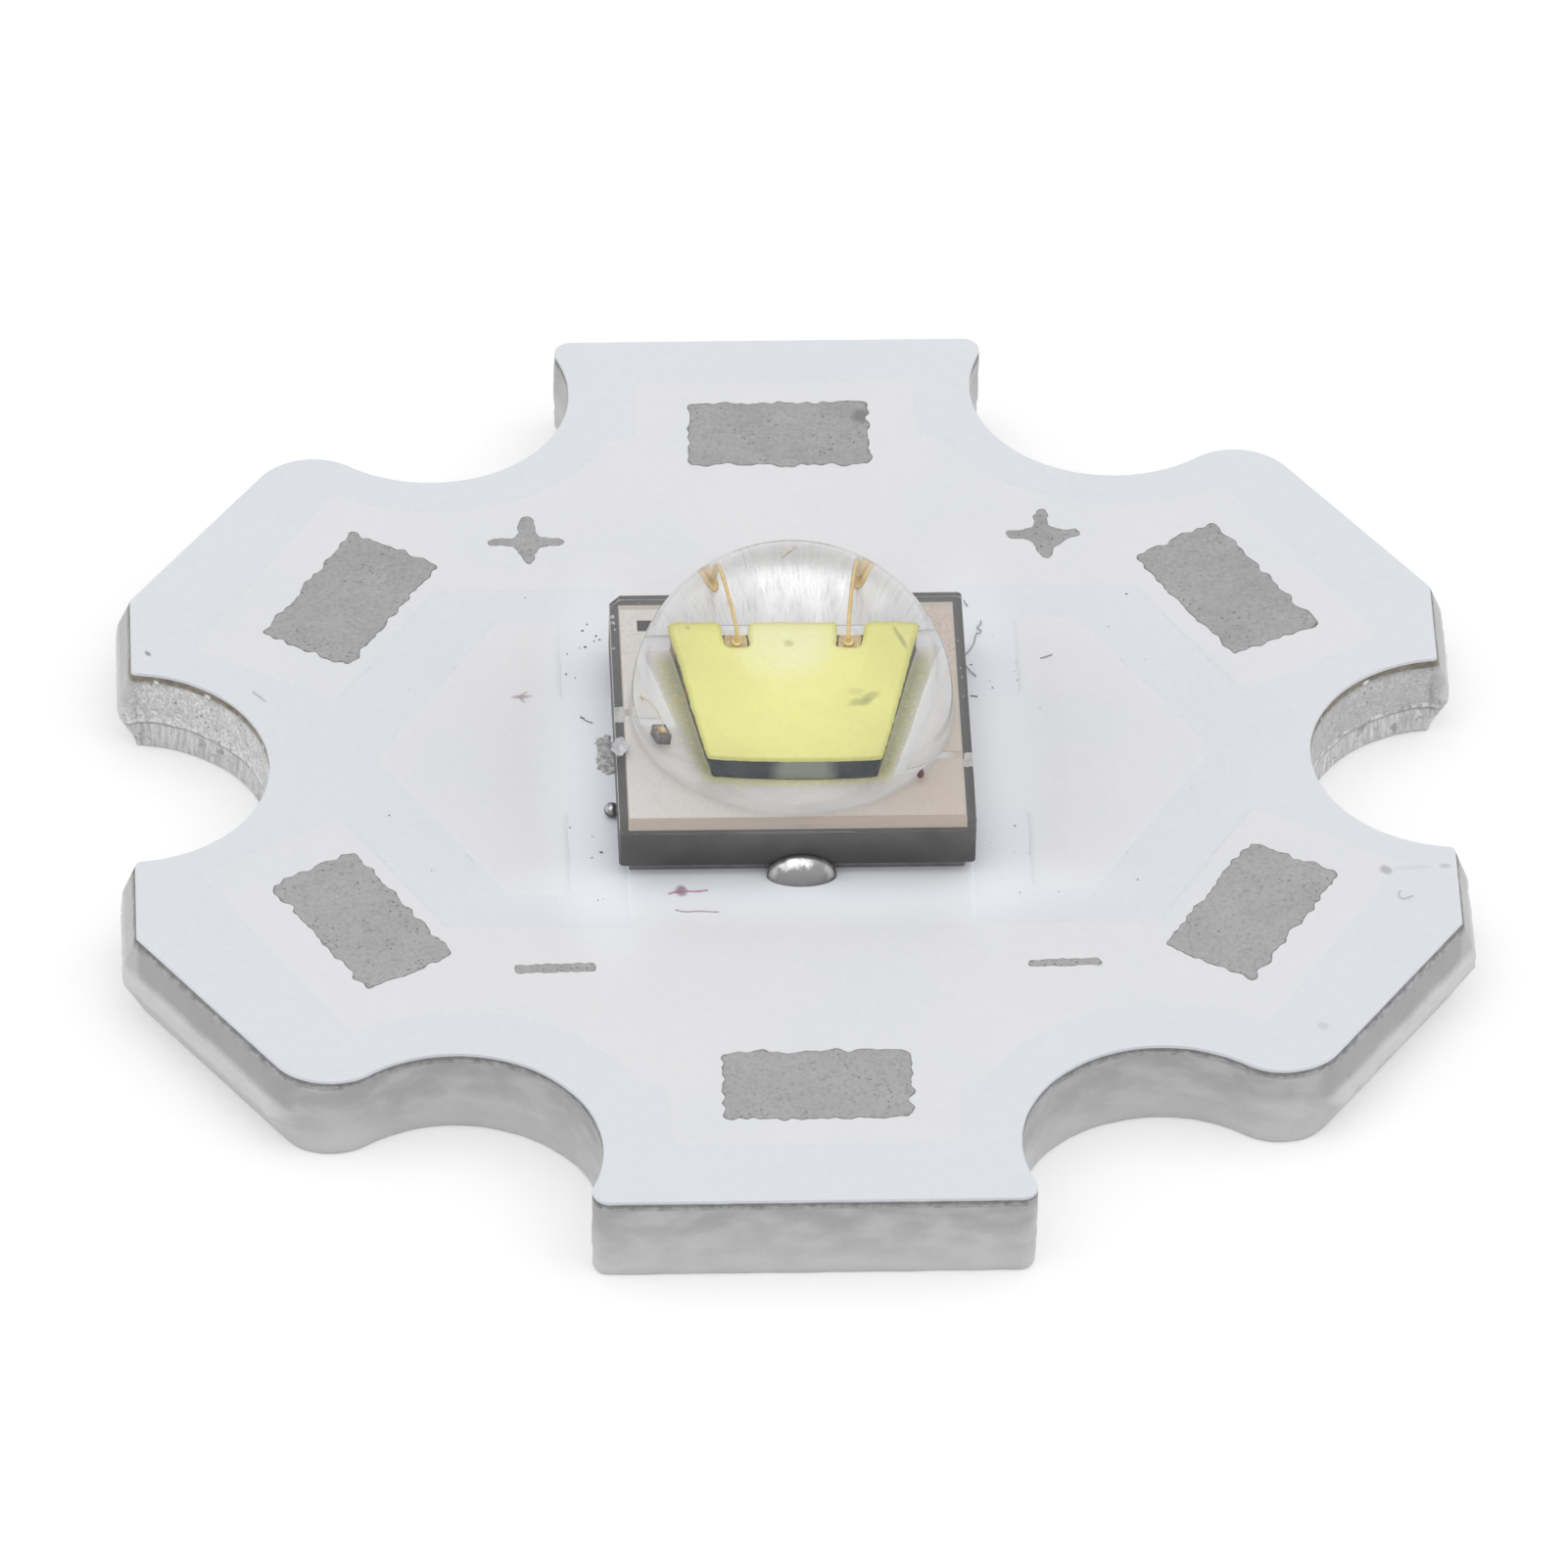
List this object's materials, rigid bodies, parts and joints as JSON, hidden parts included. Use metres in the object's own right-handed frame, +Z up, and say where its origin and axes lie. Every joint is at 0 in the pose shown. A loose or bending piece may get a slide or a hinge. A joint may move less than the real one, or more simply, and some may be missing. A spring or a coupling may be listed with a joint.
{
  "type": "high-power led on star board",
  "caption": "High-power LED with a clear dome on a ceramic package, soldered to a white star-shaped aluminium-core board with wire pads and screw notches.",
  "frame": {"origin": "middle of the board's flat underside", "axes": "+Z up through the dome; +Y towards the positive pads; +X to the right with the positive pads at the far side"},
  "size_m": [0.019, 0.0186, 0.0047],
  "materials": {
    "aluminium": "satin",
    "dielectric": "matte",
    "copper": "satin",
    "white_mask": "matte",
    "tin": "matte",
    "solder": "satin",
    "ceramic": "matte",
    "silver_metal": "satin",
    "die": "satin",
    "phosphor": "matte",
    "gold": "polished",
    "silicone": "polished"
  },
  "bodies": {
    "root": {"aluminium_core": "aluminium", "dielectric_layer": "dielectric", "positive_copper": "copper", "negative_copper": "copper", "thermal_copper": "copper", "solder_mask": "white_mask", "positive_pad_left": "tin", "positive_pad_centre": "tin", "positive_pad_right": "tin", "negative_pad_left": "tin", "negative_pad_centre": "tin", "negative_pad_right": "tin", "anode_solder": "solder", "thermal_solder": "solder", "cathode_solder": "solder", "ceramic_substrate": "ceramic", "anode_terminal": "silver_metal", "thermal_terminal": "silver_metal", "cathode_terminal": "silver_metal", "die_metal": "silver_metal", "wire_metal": "silver_metal", "die_attach": "solder", "led_die": "die", "phosphor_layer": "phosphor", "bond_wire_left": "gold", "bond_wire_right": "gold", "protection_chip": "die", "protection_wire": "gold", "silicone_dome": "silicone"}
  },
  "joints": []
}
